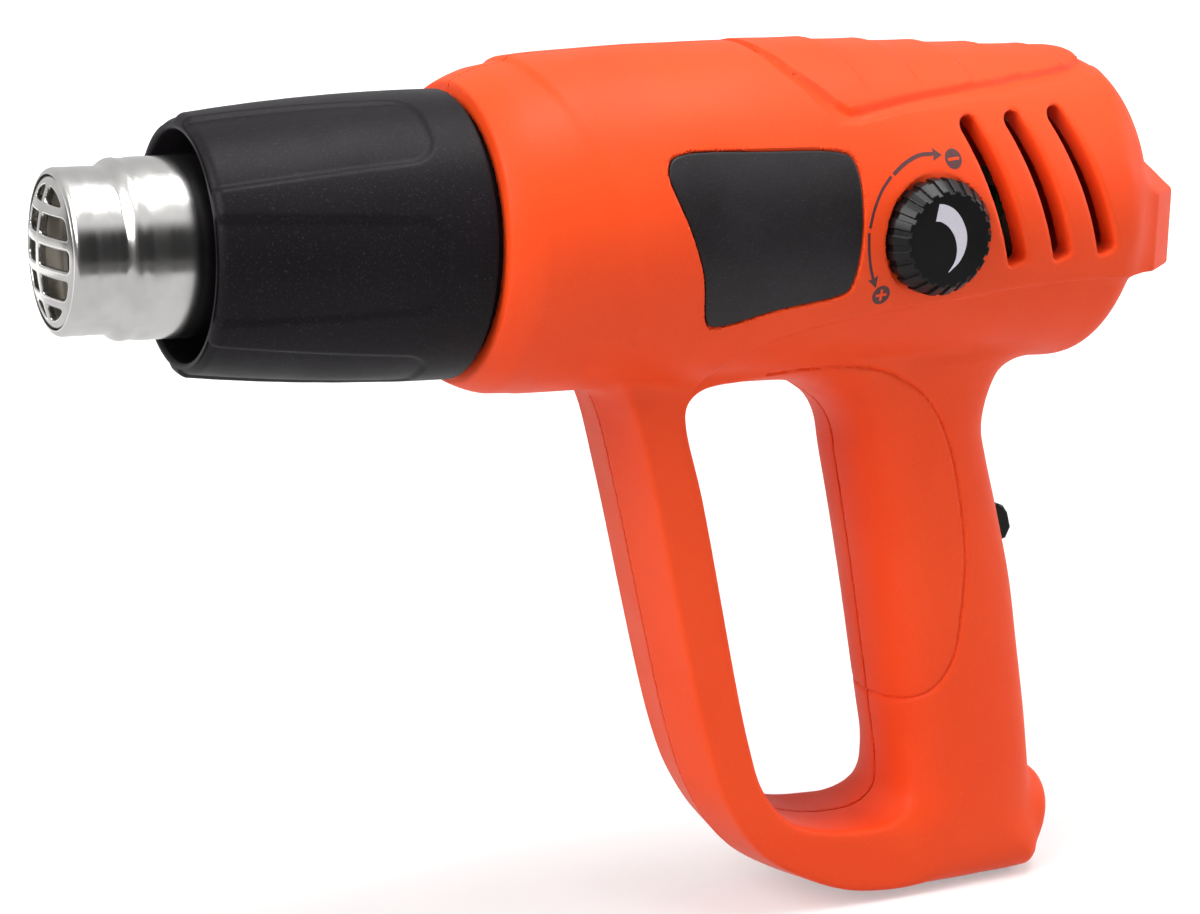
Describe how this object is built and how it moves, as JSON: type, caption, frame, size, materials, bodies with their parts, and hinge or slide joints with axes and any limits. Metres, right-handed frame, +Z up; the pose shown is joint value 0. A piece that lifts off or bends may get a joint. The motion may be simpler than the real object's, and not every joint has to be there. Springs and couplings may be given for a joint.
{
  "type": "hot air tool",
  "caption": "Pistol-shaped hot air tool with a closed handle loop, steel nozzle in a black guard, a side dial and a slide switch in the grip.",
  "frame": {"origin": "middle of the flat foot under the handle, on the plane that the foot ends in", "axes": "+X along the barrel from the nozzle to the back, +Y toward the plain side away from the dial, +Z up"},
  "size_m": [0.265, 0.081, 0.2021],
  "materials": {
    "orange_plastic": "fine matte moulded texture",
    "black_plastic": "fine matte moulded texture",
    "polished_steel": "polished",
    "dark_steel": "zinc plated, dull",
    "grey_plastic": "plain moulded",
    "black_rubber": "matte",
    "label_film": "satin film, bare",
    "circuit_board": "solder mask",
    "mica": "wound mica sheet",
    "ceramic": "unglazed ceramic",
    "heater_wire": "oxidised resistance wire"
  },
  "bodies": {
    "tool": {"housing_left": "orange_plastic", "housing_right": "orange_plastic", "guard_sleeve": "black_plastic", "nozzle_tube": "polished_steel", "nozzle_grille": "polished_steel", "mica_sleeve": "mica", "heater_core": "ceramic", "heater_coil": "heater_wire", "air_duct": "grey_plastic", "motor_mount": "grey_plastic", "motor_can": "dark_steel", "motor_cap": "black_plastic", "circuit_board": "circuit_board", "dial_regulator": "grey_plastic", "name_plate": "label_film", "switch_body": "black_plastic", "cord_gland": "black_rubber", "cord_clamp": "grey_plastic", "clamp_screw_1": "dark_steel", "clamp_screw_2": "dark_steel", "terminal_block": "grey_plastic", "housing_screw_1": "dark_steel", "housing_screw_2": "dark_steel", "housing_screw_3": "dark_steel", "housing_screw_4": "dark_steel", "housing_screw_5": "dark_steel", "housing_screw_6": "dark_steel", "housing_screw_7": "dark_steel"},
    "dial": {"dial_knob": "black_plastic", "dial_shaft": "grey_plastic"},
    "slider": {"switch_button": "black_plastic"},
    "rotor": {"motor_shaft": "polished_steel", "motor_armature": "dark_steel", "fan_wheel": "black_plastic"}
  },
  "joints": [
    {"name": "dial_turn", "type": "hinge", "parent": "tool", "child": "dial", "pos_m": [-0.0306, -0.04, 0.1621], "axis": [0, -1, 0], "range_deg": [-135, 135]},
    {"name": "switch_slide", "type": "slide", "parent": "tool", "child": "slider", "axis": [-0.2756, 0, 0.9613], "range_m": [0, 0.008]},
    {"name": "rotor_spin", "type": "hinge", "parent": "tool", "child": "rotor", "pos_m": [-0.044, 0, 0.1615], "axis": [1, 0, 0], "continuous": true}
  ]
}
